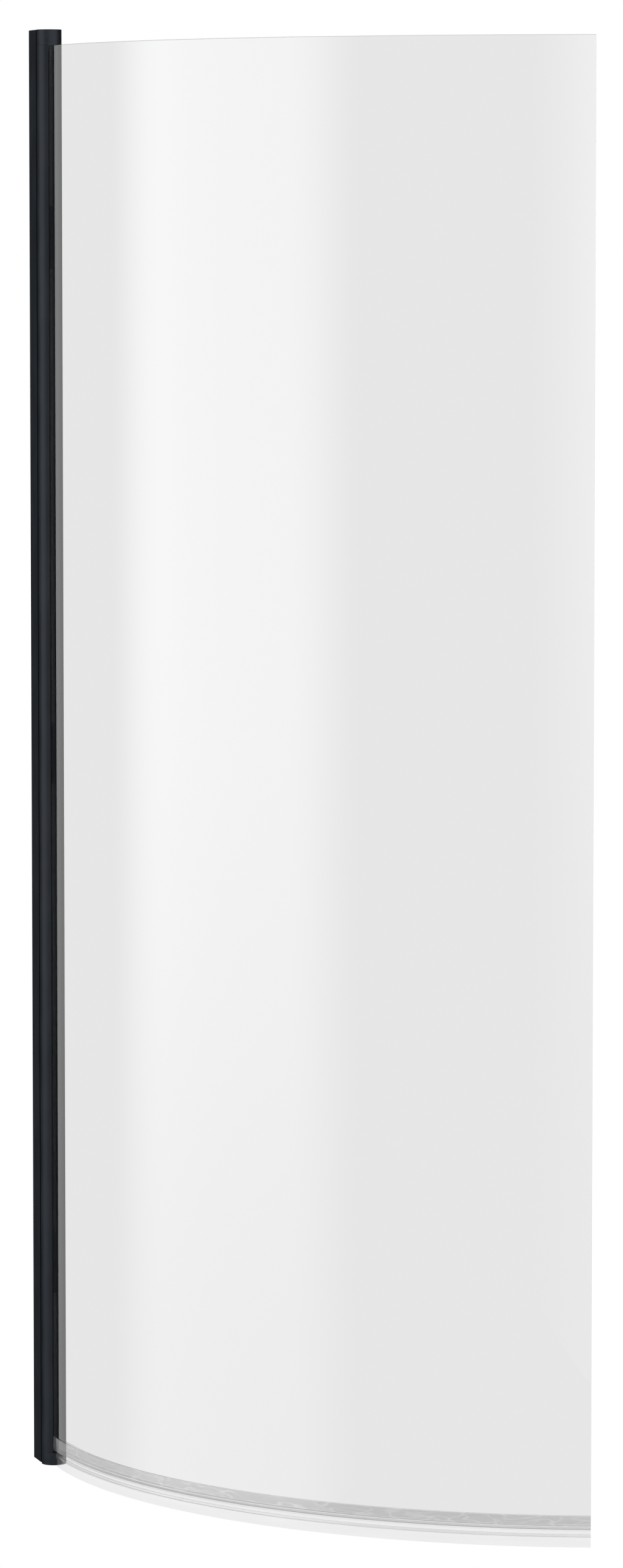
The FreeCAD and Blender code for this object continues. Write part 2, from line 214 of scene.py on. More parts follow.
def calculate(tree, operation, *sources):
    node = tree.nodes.new("ShaderNodeMath")
    node.operation = operation
    for source, socket in zip(sources, node.inputs):
        feed(tree, source, socket)
    return node.outputs[0]


def ranged(tree, value, source, target, smooth=False):
    # a value in the first span becomes one in the second
    node = tree.nodes.new("ShaderNodeMapRange")
    if smooth:
        node.interpolation_type = "SMOOTHSTEP"
    node.inputs["From Min"].default_value, node.inputs["From Max"].default_value = source
    node.inputs["To Min"].default_value, node.inputs["To Max"].default_value = target
    tree.links.new(value, node.inputs["Value"])
    return node.outputs["Result"]


def placeOn(tree, axis):
    # where a point lies along an axis of the object
    coords = tree.nodes.new("ShaderNodeTexCoord")
    apart = tree.nodes.new("ShaderNodeSeparateXYZ")
    tree.links.new(coords.outputs["Object"], apart.inputs[0])
    return apart.outputs[axis]


def mixShaders(tree, share, first, second):
    # puts a mix of two shaders on the material
    mix = tree.nodes.new("ShaderNodeMixShader")
    feed(tree, share, mix.inputs["Fac"])
    tree.links.new(first, mix.inputs[1])
    tree.links.new(second, mix.inputs[2])
    tree.links.new(mix.outputs["Shader"], tree.nodes["Material Output"].inputs["Surface"])


def addNoise(tree, stretch, detail=2, source="Object"):
    # noise on the piece's own coordinates: stretch is cycles per metre along x, y and z
    coords = tree.nodes.new("ShaderNodeTexCoord")
    mapping = tree.nodes.new("ShaderNodeMapping")
    noise = tree.nodes.new("ShaderNodeTexNoise")
    mapping.inputs["Scale"].default_value = stretch
    noise.inputs["Scale"].default_value = 1
    noise.inputs["Detail"].default_value = detail
    tree.links.new(coords.outputs[source], mapping.inputs["Vector"])
    tree.links.new(mapping.outputs["Vector"], noise.inputs["Vector"])
    return noise.outputs["Fac"]


def spread(tree, noise, low, high, socket):
    # a value between low and high, by a noise
    tree.links.new(ranged(tree, noise, noiseSpan, (low, high)), socket)


def addRamp(tree, value, start, startColour, end, endColour, socket):
    ramp = tree.nodes.new("ShaderNodeValToRGB")
    first, last = ramp.color_ramp.elements
    first.position, last.position = start, end
    first.color, last.color = startColour, endColour
    tree.links.new(value, ramp.inputs["Fac"])
    tree.links.new(ramp.outputs["Color"], socket)


def tint(tree, noise, dark, light, socket):
    # a colour between dark and light, by a noise
    addRamp(tree, noise, noiseSpan[0], (*dark, 1), noiseSpan[1], (*light, 1), socket)


def addBump(tree, shader, height, depth):
    bump = tree.nodes.new("ShaderNodeBump")
    bump.inputs["Strength"].default_value = 1
    bump.inputs["Distance"].default_value = depth
    tree.links.new(height, bump.inputs["Height"])
    tree.links.new(bump.outputs["Normal"], shader.inputs["Normal"])


def vary(tree, shader, noise, dark, light, roughness, depth):
    # one noise carries the colour, the roughness and the bump
    tint(tree, noise, dark, light, shader.inputs["Base Color"])
    spread(tree, noise, *roughness, shader.inputs["Roughness"])
    addBump(tree, shader, noise, depth)


def startPaint(name, rough, stretch):
    # thin black satin coat in faint patches, whose shine falls off at flat angles
    material, tree, shader = startMaterial(name, paint["base"], rough, metal=paint["metal"], specular=0.0)
    shader.inputs["Specular Tint"].default_value = paint["glare"]
    patches = addNoise(tree, stretch)
    tint(tree, patches, paint["dark"], paint["light"], shader.inputs["Base Color"])
    return material, tree, shader, patches


def powderCoat():
    # on the aluminium of the post
    material, tree, shader, patches = startPaint("powderCoat", 0.4, (60, 60, 25))
    grain = addNoise(tree, (900, 900, 900), detail=3)
    spread(tree, patches, 0.36, 0.44, shader.inputs["Roughness"])
    addBump(tree, shader, grain, 0.02 * mm)
    return material


def profileCoatPaintedShade():
    # the same coat on the wall profile, with painted shade darkening its lips, which stand in the groove
    # beside the post
    material = powderCoat()
    material.name = "profileCoatPaintedShade"
    tree = material.node_tree
    base = tree.nodes["Principled BSDF"].inputs["Base Color"]
    # painted shade: the base colour darkens towards the front of the lips
    level = ranged(tree, placeOn(tree, "Y"),
                   (profileFront + lipPaintedShade["start"], profileFront + lipPaintedShade["end"]), (lipPaintedShade["share"], 1))
    dim = tree.nodes.new("ShaderNodeVectorMath")
    dim.operation = "SCALE"
    tree.links.new(base.links[0].from_socket, dim.inputs[0])
    tree.links.new(level, dim.inputs["Scale"])
    tree.links.new(dim.outputs["Vector"], base)
    return material


def mouldedBlack():
    # end caps, covers and other mouldings, to match the profiles
    material, tree, shader, patches = startPaint("mouldedBlack", 0.41, (120, 120, 120))
    sparks = addNoise(tree, (2200, 2200, 2200), detail=4)
    spread(tree, patches, 0.36, 0.46, shader.inputs["Roughness"])
    addBump(tree, shader, sparks, 0.015 * mm)
    return material


def blackAnodised():
    material, tree, shader = startMaterial("blackAnodised", (0.02, 0.021, 0.022), 0.42, specular=0.3)
    dieLines = addNoise(tree, (1500, 1500, 6), detail=3)
    vary(tree, shader, dieLines, (0.014, 0.0145, 0.015), (0.024, 0.025, 0.026), (0.36, 0.5), 0.03 * mm)
    return material


def rubberBlack():
    material, tree, shader = startMaterial("rubberBlack", (0.004, 0.004, 0.0042), 0.68, specular=0.06)
    streaks = addNoise(tree, (1200, 1200, 14), detail=3)
    vary(tree, shader, streaks, (0.003, 0.003, 0.0032), (0.0055, 0.0055, 0.0058), (0.6, 0.76), 0.04 * mm)
    return material


def satinSteel():
    material, tree, shader = startMaterial("satinSteel", (0.6, 0.6, 0.61), 0.3, metal=1.0)
    turned = addNoise(tree, (160, 160, 2400), detail=3)
    vary(tree, shader, turned, (0.5, 0.5, 0.51), (0.66, 0.66, 0.67), (0.22, 0.38), 0.02 * mm)
    return material


def blackZinc():
    material, tree, shader = startMaterial("blackZinc", (0.03, 0.03, 0.032), 0.35, metal=0.6)
    patches = addNoise(tree, (500, 500, 500), detail=3)
    vary(tree, shader, patches, (0.022, 0.022, 0.024), (0.045, 0.045, 0.047), (0.28, 0.42), 0.02 * mm)
    return material


def whiteAcetal():
    material, tree, shader = startMaterial("whiteAcetal", (0.8, 0.8, 0.78), 0.36)
    shader.inputs["Subsurface Weight"].default_value = 0.15
    shader.inputs["Subsurface Scale"].default_value = 1 * mm
    cloud = addNoise(tree, (300, 300, 300), detail=3)
    vary(tree, shader, cloud, (0.77, 0.77, 0.75), (0.83, 0.83, 0.81), (0.3, 0.42), 0.03 * mm)
    return material


def startClear(name, passes, bends, rough):
    # a surface that mirrors by its angle and passes the rest straight on, a little dimmed each time
    material = bpy.data.materials.new(name)
    material.use_nodes = True
    tree = material.node_tree
    tree.nodes.remove(tree.nodes["Principled BSDF"])
    passed = tree.nodes.new("ShaderNodeBsdfTransparent")
    passed.name = "passed"
    passed.inputs["Color"].default_value = (*passes, 1)
    mirrored = tree.nodes.new("ShaderNodeBsdfGlossy")
    mirrored.name = "mirrored"
    mirrored.inputs["Roughness"].default_value = rough
    angle = tree.nodes.new("ShaderNodeFresnel")
    angle.inputs["IOR"].default_value = bends
    side = tree.nodes.new("ShaderNodeNewGeometry")
    outside = calculate(tree, "SUBTRACT", 1, side.outputs["Backfacing"])
    share = calculate(tree, "MULTIPLY", angle.outputs["Fac"], outside)
    mixShaders(tree, share, passed.outputs["BSDF"], mirrored.outputs["BSDF"])
    return material, tree


def addHaze(tree, share):
    # milky scattering in front of what the clear surface shows
    milk = tree.nodes.new("ShaderNodeBsdfDiffuse")
    milk.inputs["Color"].default_value = (0.9, 0.9, 0.9, 1)
    clear = tree.nodes["Material Output"].inputs["Surface"].links[0].from_socket
    mixShaders(tree, share, clear, milk.outputs["BSDF"])


def clearGlass():
    material, tree = startClear("clearGlass", (0.888, 0.89, 0.889), 1.6, 0.0)
    rollerWave = addNoise(tree, (1.5, 1.5, 4.5), detail=0)
    addBump(tree, tree.nodes["mirrored"], rollerWave, 0.05 * mm)
    return material


def groundEdge():
    # the polished rim of the pane, a little green and duller than its faces
    material, tree = startClear("groundEdge", (0.8, 0.815, 0.81), 1.52, 0.2)
    wheelMarks = addNoise(tree, (1500, 1500, 1500), detail=3)
    tint(tree, wheelMarks, (0.77, 0.79, 0.784), (0.83, 0.842, 0.838), tree.nodes["passed"].inputs["Color"])
    spread(tree, wheelMarks, 0.15, 0.3, tree.nodes["mirrored"].inputs["Roughness"])
    addBump(tree, tree.nodes["mirrored"], wheelMarks, 0.01 * mm)
    return material


def wetEdge():
    # lower rim of the pane, in contact with the floor of the grip
    material, tree = startClear("wetEdge", (0.97, 0.972, 0.971), 1.1, 0.2)
    film = addNoise(tree, (40, 40, 40))
    tint(tree, film, (0.96, 0.962, 0.961), (0.98, 0.982, 0.981), tree.nodes["passed"].inputs["Color"])
    return material


def clearVinyl():
    # soft extruded strip: clear with a little haze, lines along it
    material, tree = startClear("clearVinyl", (0.921, 0.921, 0.921), 1.5, 0.12)
    addHaze(tree, 0.035)
    haze = addNoise(tree, (14, 240, 1), source="UV")
    dieLines = addNoise(tree, (4, 1500, 1), source="UV")
    tint(tree, haze, (0.912, 0.912, 0.912), (0.93, 0.93, 0.93), tree.nodes["passed"].inputs["Color"])
    spread(tree, haze, 0.08, 0.18, tree.nodes["mirrored"].inputs["Roughness"])
    addBump(tree, tree.nodes["mirrored"], dieLines, 0.005 * mm)
    return material


def clearSilicone():
    # thin bond behind the pane's edge, dark against the slot with a green cast
    material, tree = startClear("clearSilicone", (0.8, 0.86, 0.84), 1.41, 0.3)
    addHaze(tree, 0.02)
    ripples = addNoise(tree, (250, 250, 90), detail=3)
    tint(tree, ripples, (0.76, 0.83, 0.81), (0.84, 0.89, 0.87), tree.nodes["passed"].inputs["Color"])
    spread(tree, ripples, 0.25, 0.35, tree.nodes["mirrored"].inputs["Roughness"])
    return material


def vinylContact():
    # inside of the grip, where the strip touches the glass along faint lines
    material, tree = startClear("vinylContact", (0.88, 0.88, 0.88), 1.2, 0.1)
    swell = addNoise(tree, (26, 110, 1), detail=1, source="UV")
    away = calculate(tree, "ABSOLUTE", calculate(tree, "SUBTRACT", swell, 0.5))
    addRamp(tree, away, contactLines["core"], contactLines["bright"], contactLines["end"],
            contactLines["plain"], tree.nodes["passed"].inputs["Color"])
    return material


def vinylWebPaintedShade():
    # thick front of the web, with painted shade under the pane: darkest just under the pane, fading downwards
    material, tree = startClear("vinylWebPaintedShade", (0.8, 0.802, 0.801), 1.2, 0.1)
    level = ranged(tree, placeOn(tree, "Z"), (paneLow.z - webPaintedShade["foot"], paneLow.z - webPaintedShade["top"]),
                   (webPaintedShade["light"], webPaintedShade["dark"]))
    tree.links.new(level, tree.nodes["passed"].inputs["Color"])
    return material


finishes = {make.__name__: make() for make in (
    powderCoat, profileCoatPaintedShade, mouldedBlack, blackAnodised, rubberBlack, satinSteel, blackZinc, whiteAcetal,
    clearGlass, groundEdge, wetEdge, clearVinyl, clearSilicone, vinylContact, vinylWebPaintedShade)}
print("materials:", ", ".join(finishes))

# nodes of the frame whose shape is right as it is: they only get a finish
carried = {
    "wall_profile": "profileCoatPaintedShade",
    "carrier_profile": "blackAnodised",
    "cradle_gasket": "rubberBlack",
    "adjusting_screws": "satinSteel",
    "cover_seats": "mouldedBlack",
    "cap_screws": "blackZinc",
    "pivot_pins": "satinSteel",
    "thrust_washers": "satinSteel",
    "pivot_bushes": "whiteAcetal",
    "edge_packers": "mouldedBlack",
    "edge_bond": "clearSilicone",
}
for nodeName, finishName in carried.items():
    mesh = nodes[nodeName].data
    for i in range(len(mesh.materials)):
        mesh.materials[i] = finishes[finishName]
print("finished", len(carried), "nodes of the frame")


def addFinishes(piece, *names):
    # puts more finishes on a piece and gives the number of each
    for name in names:
        piece.data.materials.append(finishes[name])
    return range(1, 1 + len(names))


# end caps: a block in the channel, whose round head covers the end of the post
cap = {
    "headRadius": 12 * mm,
    "headSteps": 84,
    "blockHalf": 9.2 * mm,
    "blockFront": -27.9 * mm,
    "blockBack": -2.4 * mm,
    "screwY": -14 * mm,
    "screwHole": 2.2 * mm,
    "recessRadius": 4.2 * mm,
    "recessDepth": 6 * mm,
    "pinRadius": 2.5 * mm,
    "pinDepth": 10 * mm,
    "washerRadius": 4.5 * mm,
    "washerDepth": 0.4 * mm,
    "rim": 0.6 * mm,            # rounding of the outer rim
    "corner": 0.5 * mm,         # rounding of the upright corners
    "squareAbove": 60,          # degrees: edges that count as corners or rim
}


def makeCap(nodeName, name):
    low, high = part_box(nodeName)
    upward = low.z > 0
    outerZ, innerZ = (high.z, low.z) if upward else (low.z, high.z)
    inward = -1 if upward else 1
    half, front, back = cap["blockHalf"], cap["blockFront"], cap["blockBack"]
    reach = (cap["headRadius"] ** 2 - (front - pivotY) ** 2) ** 0.5
    turn = 2 * pi - 2 * atan2(reach, front - pivotY)
    bm = bmesh.new()
    raisePlate(bm, (reach, front, innerZ), -turn, cap["headSteps"],
               [(-half, front), (-half, back), (half, back), (half, front)], outerZ - innerZ)
    corners = [e for e in sharpEdges(bm, cap["squareAbove"])
               if isUpright(e) and abs(abs(e.verts[0].co.x) - half) < nearby]
    roundEdges(bm, corners, cap["corner"], steps=3)
    rim = [e for e in sharpEdges(bm, cap["squareAbove"]) if liesAt(e, "z", outerZ)]
    roundEdges(bm, rim, cap["rim"], steps=4)
    piece = shade(bm, name, finishes["mouldedBlack"])
    outside, inside = outerZ - inward * over, innerZ + inward * over
    drill(piece, cap["recessRadius"], cap["screwY"], outside, outerZ + inward * cap["recessDepth"])
    drill(piece, cap["screwHole"], cap["screwY"], outside, inside, smallSteps)
    drill(piece, cap["washerRadius"], pivotY, inside, innerZ - inward * cap["washerDepth"])
    drill(piece, cap["pinRadius"], pivotY, inside, innerZ - inward * cap["pinDepth"], smallSteps)
    dress(piece, "wall_side", "cap_black", nodeName)


makeCap("top_cap", "topCap")
makeCap("bottom_cap", "bottomCap")

# plugs over the cap screws, slightly dished, with a soft edge
plug = {
    "radius": 4.2 * mm,
    "thick": 1.6 * mm,
    "edge": 0.35 * mm,
    "dish": 0.25 * mm,
    "dishRadius": 3.2 * mm,
    "dishLip": 0.25 * mm,
    "dishCurve": ((0, 1), (0.5, 0.86), (1, 0.3)),       # shares of the dish's radius and depth
    "edgeMiddle": 0.3,          # share of the edge's rounding
}


def makePlugs():
    low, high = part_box("cap_plugs")
    radius, edge, middle = plug["radius"], plug["edge"], plug["edgeMiddle"] * plug["edge"]
    profile = [                 # distance from the axis and depth
        *((r * plug["dishRadius"], depth * plug["dish"]) for r, depth in plug["dishCurve"]),
        (plug["dishRadius"] + plug["dishLip"], 0),
        (radius - edge, 0),
        (radius - middle, middle),
        (radius, edge),
        (radius, plug["thick"]),
        (0, plug["thick"]),
    ]
    centre = Vector((0, cap["screwY"], 0))
    bm = bmesh.new()
    for outerZ, inward in ((high.z, -1), (low.z, 1)):
        points = [centre + Vector((r, 0, outerZ + inward * depth)) for r, depth in profile]
        spinProfile(bm, points, centre, (0, 0, 1))
    piece = shade(bm, "capPlugs", finishes["mouldedBlack"], softAngle)
    dress(piece, "wall_side", "cap_black", "cap_plugs")


makePlugs()

# snap covers over the adjusting screws: thin domed shells on the side of the profile
cover = {
    "axisY": -13 * mm,
    "levels": (-500 * mm, 0, 500 * mm),
    "radius": 5.8 * mm,
    "roomRadius": 5.2 * mm,
    "wall": 0.6 * mm,
    "dome": 1.1 * mm,
    "domeCurve": ((0, 0), (0.35, 0.1), (0.62, 0.34), (0.82, 0.66)),     # shares of the radius and the dome
    "roomCurve": ((0.75, 1), (0.4, 0.3), (0, 0)),       # the same under the dome
    "roomDrop": 0.24 * mm,      # from the foot of the edge to the room's corner
    "edge": 0.5 * mm,
    "edgeMiddle": 0.29,         # share of the edge's rounding
}


def makeCovers():
    low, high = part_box("screw_covers")
    radius, edge, dome = cover["radius"], cover["edge"], cover["dome"]
    middle = cover["edgeMiddle"] * edge
    inside = high.x - cover["wall"]
    profile = [                 # distance from the axis and x, over the dome and back through its room
        *((r * radius, high.x - drop * dome) for r, drop in cover["domeCurve"]),
        (radius - edge, high.x - dome),
        (radius - middle, high.x - dome - middle),
        (radius, high.x - dome - edge),
        (radius, low.x),
        (cover["roomRadius"], low.x),
        (cover["roomRadius"], high.x - dome - edge - cover["roomDrop"]),
        *((r * radius, inside - drop * dome) for r, drop in cover["roomCurve"]),
    ]
    bm = bmesh.new()
    for level in cover["levels"]:
        centre = Vector((0, cover["axisY"], level))
        spinProfile(bm, [centre + Vector((x, 0, r)) for r, x in profile], centre, (1, 0, 0))
    piece = shade(bm, "screwCovers", finishes["mouldedBlack"], softAngle)
    dress(piece, "wall_side", "cap_black", "screw_covers")


makeCovers()
print("caps, plugs and covers made")

# post: a round extrusion with a slot for the pane, rounded slot lips, a bore and two long hollows
post = {
    "radius": 12 * mm,
    "steps": 112,
    "slotHalf": 3.7 * mm,
    "slotFloor": -41.4 * mm,
    "lip": 0.45 * mm,
    "bore": 3.5 * mm,
    "hollowInner": 5.4 * mm,
    "hollowOuter": 10 * mm,
    "hollowTurn": 220,          # degrees
    "hollowSteps": 30,
    "rib": 1.6 * mm,
}


def makePost():
    low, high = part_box("post")
    half, floor = post["slotHalf"], post["slotFloor"]
    slotFront = pivotY - (post["radius"] ** 2 - half ** 2) ** 0.5
    turn = 2 * pi - 2 * atan2(half, pivotY - slotFront)
    bm = bmesh.new()
    raisePlate(bm, (half, slotFront, low.z), turn, post["steps"], [(-half, floor), (half, floor)],
               high.z - low.z)
    lips = [e for e in sharpEdges(bm) if isUpright(e) and e.verts[0].co.y < slotFront + nearby]
    roundEdges(bm, lips, post["lip"], steps=4)
    piece = shade(bm, "roundPost", finishes["powderCoat"])
    drill(piece, post["bore"], pivotY, low.z - over, high.z + over)
    ribHalf, inner, outer = post["rib"] / 2, post["hollowInner"], post["hollowOuter"]
    arc = radians(post["hollowTurn"] / 2) - atan2(ribHalf, inner)
    for side in (1, -1):
        hollow = bmesh.new()
        strip = [hollow.verts.new((side * ribHalf, pivotY + r, low.z - over)) for r in (inner, outer)]
        wall = hollow.edges.new(strip)
        bmesh.ops.spin(hollow, geom=[*strip, wall], cent=(0, pivotY, 0), axis=(0, 0, -side),
                       angle=arc, steps=post["hollowSteps"], use_merge=False)
        raiseFaces(hollow, high.z - low.z + 2 * over)
        carve(piece, hollow)
    dress(piece, "screen", "profile_black", "post")


makePost()

# gaskets: strips in the slot on both faces of the pane
gasket = {
    "front": 0.3 * mm,          # rounding of the front edges
}


def makeGasket(nodeName, name):
    low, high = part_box(nodeName)
    bm = bmesh.new()
    addBox(bm, low, high)
    fronts = [e for e in bm.edges if liesAt(e, "y", low.y) and isUpright(e)]
    roundEdges(bm, fronts, gasket["front"], steps=3)
    dress(shade(bm, name, finishes["rubberBlack"]), "screen", "gasket_black", nodeName)


makeGasket("outer_gasket", "outerGasket")
makeGasket("inner_gasket", "innerGasket")
print("post and gaskets made")

# glass pane: a flat tongue, then a bend
pane = {
    "thick": 6 * mm,
    "outerRadius": 550 * mm,
    "turn": 71.8,               # degrees
    "bendStart": -49 * mm,      # y where the tongue ends
    "steps": 160,
    "arris": 0.6 * mm,
    "creaseAngle": 12,          # degrees: keeps the arris apart from the faces
}
midRadius = pane["outerRadius"] - pane["thick"] / 2
bendCentre = Vector((midRadius, pane["bendStart"], 0))


def makePane():
    bm = bmesh.new()
    half = pane["thick"] / 2
    addBox(bm, (-half, pane["bendStart"], paneLow.z), (half, paneHigh.y, paneHigh.z))
    front = min(bm.faces, key=lambda f: f.calc_center_median().y)
    bmesh.ops.spin(bm, geom=[front, *front.edges, *front.verts], cent=bendCentre, axis=(0, 0, 1),
                   angle=radians(pane["turn"]), steps=pane["steps"], use_merge=False)
    roundEdges(bm, sharpEdges(bm), pane["arris"])
    bmesh.ops.remove_doubles(bm, verts=bm.verts, dist=slack)
    piece = shade(bm, "glassPane", finishes["clearGlass"], pane["creaseAngle"])
    upperRim, lowerRim = addFinishes(piece, "groundEdge", "wetEdge")
    for face in piece.data.polygons:
        if face.normal.z > tilted:
            face.material_index = upperRim
        if face.normal.z < -tilted:
            face.material_index = lowerRim
    dress(piece, "screen", "pane_glass", "glass_pane")


makePane()
print("glass pane bent through", pane["turn"], "degrees")

# bottom seal: grip on the lower edge with a hollow web, neck, hollow bulb and fin
seal = {
    "start": 3 * mm,            # from the start of the bend to the end of the seal, along the pane
    "airGap": 0.06 * mm,        # inside the grip
    "leg": 1.3 * mm,
    "grip": 10.4 * mm,
    "backGrip": 8 * mm,         # the leg on the hollow side is shorter
    "webSide": 3.2 * mm,
    "web": 5.2 * mm,
    "neckHalf": 1 * mm,
    "bulbTop": 7.4 * mm,
    "bulbHalf": 2 * mm,
    "bulbFoot": 11 * mm,
    "finHalf": 0.6 * mm,
    "finFoot": 20.1 * mm,
    "wall": 0.55 * mm,          # round both hollows
    "bulbRound": 0.95 * mm,
    "tipRound": 0.5 * mm,
    "innerRound": 0.3 * mm,     # inside of the legs' tips, and the fin's foot
    "webRoomRound": 0.4 * mm,
    "bulbRoomRound": 0.7 * mm,
    "steps": 150,
    "cornerSteps": 4,
    "sameFace": 0.03 * mm,      # how well a face has to fit its place to take a finish
}
gripInner = pane["thick"] / 2 + seal["airGap"]
gripOuter = pane["thick"] / 2 + seal["leg"]
webRoomHalf = gripOuter - 2 * seal["wall"]
bulbRoomHalf = seal["bulbHalf"] - seal["wall"]


def addLoop(bm, back, front):
    # closed line in the section: x, z and rounding down the back, then up the mirror image of the front
    trace = back + [(-x, z, r) for x, z, r in reversed(front)]
    face = bm.faces.new([bm.verts.new((x, pane["bendStart"], paneLow.z + z)) for x, z, r in trace])
    corners = list(zip(face.verts, (r for x, z, r in trace)))
    for radius in sorted({r for vert, r in corners} - {0}):
        bmesh.ops.bevel(bm, geom=[vert for vert, r in corners if r == radius], offset=radius,
                        offset_type="OFFSET", segments=seal["cornerSteps"], profile=0.5, affect="VERTICES",
                        material=-1, clamp_overlap=True)


def drawSealSection(bm):
    tipRound, innerRound, bulbRound = seal["tipRound"], seal["innerRound"], seal["bulbRound"]
    below = [
        (gripOuter, -seal["webSide"], tipRound),
        (seal["neckHalf"], -seal["web"], tipRound),
        (seal["neckHalf"], -seal["bulbTop"], 0),
        (seal["bulbHalf"], -seal["bulbTop"], bulbRound),
        (seal["bulbHalf"], -seal["bulbFoot"], bulbRound),
        (seal["finHalf"], -seal["bulbFoot"], 0),
        (seal["finHalf"], -seal["finFoot"], innerRound),
    ]
    back, front = ([(gripInner, -seal["airGap"], 0), (gripInner, leg, innerRound), (gripOuter, leg, tipRound)]
                   for leg in (seal["backGrip"], seal["grip"]))
    addLoop(bm, back + below, front + below)
    wall = seal["wall"]
    webRoom = [(webRoomHalf, z, seal["webRoomRound"])
               for z in (-seal["airGap"] - wall / 2, -seal["webSide"])]
    addLoop(bm, webRoom, webRoom)
    bulbRoom = [(bulbRoomHalf, z, seal["bulbRoomRound"])
                for z in (-seal["bulbTop"] - wall, wall - seal["bulbFoot"])]
    addLoop(bm, bulbRoom, bulbRoom)
    bmesh.ops.delete(bm, geom=bm.faces[:], context="FACES_ONLY")


def mapAlong(bm):
    # u runs along the strip and v across it, both in metres
    along = bm.loops.layers.uv.new("along")
    for face in bm.faces:
        for loop in face.loops:
            arm = loop.vert.co - bendCentre
            reach = Vector((arm.x, arm.y)).length
            loop[along].uv = (atan2(arm.y, -arm.x) * reach, arm.z + reach)


def makeSeal():
    startAngle, endAngle = seal["start"] / midRadius, radians(pane["turn"])
    bm = bmesh.new()
    drawSealSection(bm)
    bmesh.ops.rotate(bm, verts=bm.verts, cent=bendCentre, matrix=Matrix.Rotation(startAngle, 3, "Z"))
    bmesh.ops.remove_doubles(bm, verts=bm.verts, dist=slack)
    firstEnd = bm.edges[:]
    bmesh.ops.spin(bm, geom=[*bm.verts, *bm.edges], cent=bendCentre, axis=(0, 0, 1),
                   angle=endAngle - startAngle, steps=seal["steps"], use_merge=False)
    lastEnd = [e for e in bm.edges if e.is_boundary and e not in firstEnd]
    for end, angle in ((firstEnd, startAngle), (lastEnd, endAngle)):
        facing = Matrix.Rotation(angle, 3, "Z") @ Vector((0, 1, 0))
        bmesh.ops.triangle_fill(bm, edges=end, use_beauty=True, normal=facing)
    mapAlong(bm)
    piece = shade(bm, "bottomSeal", finishes["clearVinyl"], softAngle)
    contact, webFront, webTop = addFinishes(piece, "vinylContact", "vinylWebPaintedShade", "wetEdge")
    for face in piece.data.polygons:
        outward = (Vector((face.center.x, face.center.y)) - bendCentre.xy).length - midRadius
        below = paneLow.z - face.center.z
        if abs(abs(outward) - gripInner) < seal["sameFace"] and abs(face.normal.z) < tilted:
            face.material_index = contact
        # the hollow's front face under the pane takes the painted shade
        if abs(outward - webRoomHalf) < seal["sameFace"] and 0 < below < seal["webSide"]:
            face.material_index = webFront
        if abs(outward) < gripInner and abs(face.normal.z) > tilted and 0 < below < seal["wall"]:
            face.material_index = webTop
    dress(piece, "screen", "seal_clear", "bottom_seal")


makeSeal()
print("bottom seal swept along the lower edge")

# floor, lights and camera
studio = {
    "floorLevel": -1.25,        # room floor, below the rim of a bath
    "floorHalf": 60,
    "floorColour": (0.88, 0.88, 0.88),
    "whiteFrom": 0.7,           # radius where the floor starts to pass into the white backdrop
    "whiteAt": 1.7,
    "worldLevel": 0.45,         # light of the surroundings; seen directly, they are white
}
flags = {                       # dark screens beside the set, which keep the far sides of the post dark
    "wallSideFlag": {"spot": (1.0, 1.1, 0.3), "aim": (1.0, 0, 0.3), "size": (2.5, 3.1)},
    "rightFlag": {"spot": (2.2, 0.25, 0.3), "aim": (0, 0.25, 0.3), "size": (1.8, 3.1)},
}
softboxes = {                   # a fade goes along X or Y from one place to another, between two shares
    "keySoftbox": {
        "spot": (-2.195, -0.088, 0.3),
        "aim": (-0.012, -0.36, 0.3),
        "size": (3.6, 3.0),
        "level": 2.35,
        "fades": [("X", (0.0, 0.28), (0, 1)), ("X", (0.95, 0.68), (0, 1)), ("Y", (0.0, 0.42), (0.45, 1))],
    },
    "frontSoftbox": {
        "spot": (1.2, -3.3, 0.3),
        "aim": (0.1, -0.3, 0.3),
        "size": (7.0, 3.0),
        "level": 2.6,
        "fades": [("X", (0.0, 0.36), (0, 1)), ("X", (1.0, 0.9), (0, 1)), ("Y", (0.0, 0.6), (0.25, 1))],
    },
}
photoCamera = {
    "place": (-1.53302, -6.17343, 0.51993),
    "tiltDown": 4.974,          # degrees
    "turn": -16.3206,
    "lens": 149.562,
    "sensor": 36,               # along the picture's height
    "seesTo": 200,
}


def seenDirectly(tree):
    # 1 for camera, glossy and transmission rays
    path = tree.nodes.new("ShaderNodeLightPath")
    first = calculate(tree, "MAXIMUM", path.outputs["Is Camera Ray"], path.outputs["Is Glossy Ray"])
    return calculate(tree, "MAXIMUM", first, path.outputs["Is Transmission Ray"])


def makeWorld():
    world = bpy.data.worlds.new("studio")
    world.use_nodes = True
    scene.world = world
    tree = world.node_tree
    background = tree.nodes["Background"]
    background.inputs["Color"].default_value = (1, 1, 1, 1)
    level = ranged(tree, seenDirectly(tree), (0, 1), (studio["worldLevel"], 1))
    tree.links.new(level, background.inputs["Strength"])


def makeFloor():
    bm = bmesh.new()
    bmesh.ops.create_grid(bm, x_segments=8, y_segments=8, size=studio["floorHalf"],
                          matrix=Matrix.Translation((0, 0, studio["floorLevel"])))
    material, tree, shader = startMaterial("paleFloor", studio["floorColour"], 0.8, specular=0.2)
    coords = tree.nodes.new("ShaderNodeTexCoord")
    flat = tree.nodes.new("ShaderNodeVectorMath")
    flat.operation = "MULTIPLY"
    flat.inputs[1].default_value = (1, 1, 0)
    reach = tree.nodes.new("ShaderNodeVectorMath")
    reach.operation = "LENGTH"
    tree.links.new(coords.outputs["Object"], flat.inputs[0])
    tree.links.new(flat.outputs["Vector"], reach.inputs[0])
    fade = ranged(tree, reach.outputs["Value"], (studio["whiteFrom"], studio["whiteAt"]), (0, 1), smooth=True)
    share = calculate(tree, "MULTIPLY", fade, seenDirectly(tree))
    white = tree.nodes.new("ShaderNodeEmission")
    mixShaders(tree, share, shader.outputs["BSDF"], white.outputs["Emission"])
    shade(bm, "floor", material)


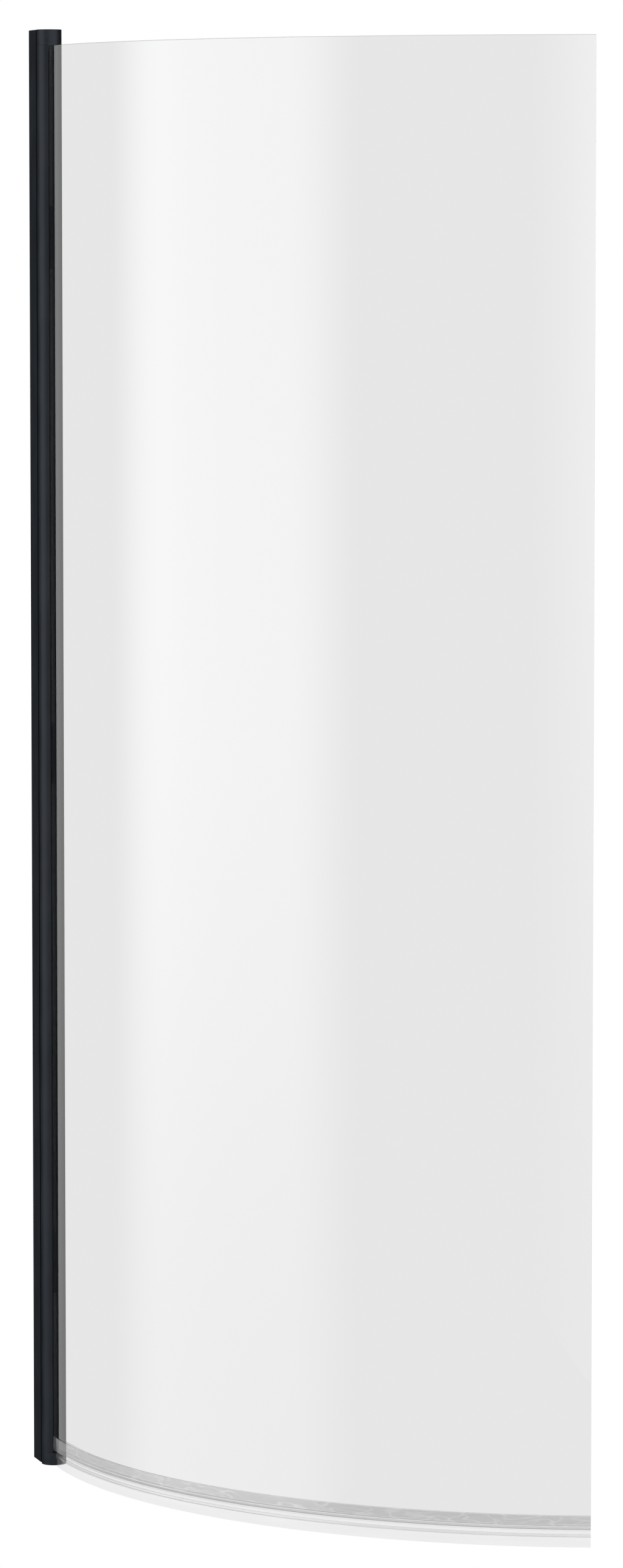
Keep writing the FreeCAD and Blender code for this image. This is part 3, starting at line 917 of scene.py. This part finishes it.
def makeFlag(name, spot, aim, size):
    bm = bmesh.new()
    facing = (Vector(aim) - Vector(spot)).to_track_quat("Z", "Y").to_matrix().to_4x4()
    bmesh.ops.create_grid(bm, x_segments=1, y_segments=1, size=0.5,
                          matrix=Matrix.Translation(spot) @ facing @ Matrix.Diagonal((*size, 1, 1)))
    material = startMaterial(name + "Cloth", (0.01, 0.01, 0.01), 0.9, specular=0.0)[0]
    flag = shade(bm, name, material)
    for kind in ("camera", "transmission", "diffuse", "shadow"):
        setattr(flag, "visible_" + kind, False)


def makeSoftbox(name, spot, aim, size, level, fades):
    # an area lamp of a given brightness, whose sides and foot fade
    lamp = bpy.data.lights.new(name, "AREA")
    lamp.shape = "RECTANGLE"
    lamp.size, lamp.size_y = size
    lamp.energy = level * pi * size[0] * size[1]
    lamp.use_nodes = True
    tree = lamp.node_tree
    place = tree.nodes.new("ShaderNodeNewGeometry")
    apart = tree.nodes.new("ShaderNodeSeparateXYZ")
    tree.links.new(place.outputs["Parametric"], apart.inputs[0])
    shares = [ranged(tree, apart.outputs[axis], places, values, smooth=True)
              for axis, places, values in fades]
    glow = shares[0]
    for share in shares[1:]:
        glow = calculate(tree, "MULTIPLY", glow, share)
    tree.links.new(glow, tree.nodes["Emission"].inputs["Strength"])
    holder = bpy.data.objects.new(name, lamp)
    holder.location = spot
    holder.rotation_euler = (Vector(aim) - Vector(spot)).to_track_quat("-Z", "Y").to_euler()
    holder.visible_camera = False
    holder.visible_transmission = False
    scene.collection.objects.link(holder)


def makeCamera():
    cameraData = bpy.data.cameras.new("camera")
    cameraData.lens = photoCamera["lens"]
    cameraData.sensor_width = photoCamera["sensor"]
    cameraData.clip_end = photoCamera["seesTo"]
    camera = bpy.data.objects.new("camera", cameraData)
    camera.location = photoCamera["place"]
    camera.rotation_euler = (radians(90 - photoCamera["tiltDown"]), 0, radians(photoCamera["turn"]))
    scene.collection.objects.link(camera)
    scene.camera = camera


makeWorld()
makeFloor()
for name, values in flags.items():
    makeFlag(name, **values)
for name, values in softboxes.items():
    makeSoftbox(name, **values)
makeCamera()
scene.view_settings.view_transform = "Standard"
print("floor, two softboxes and the camera are set")
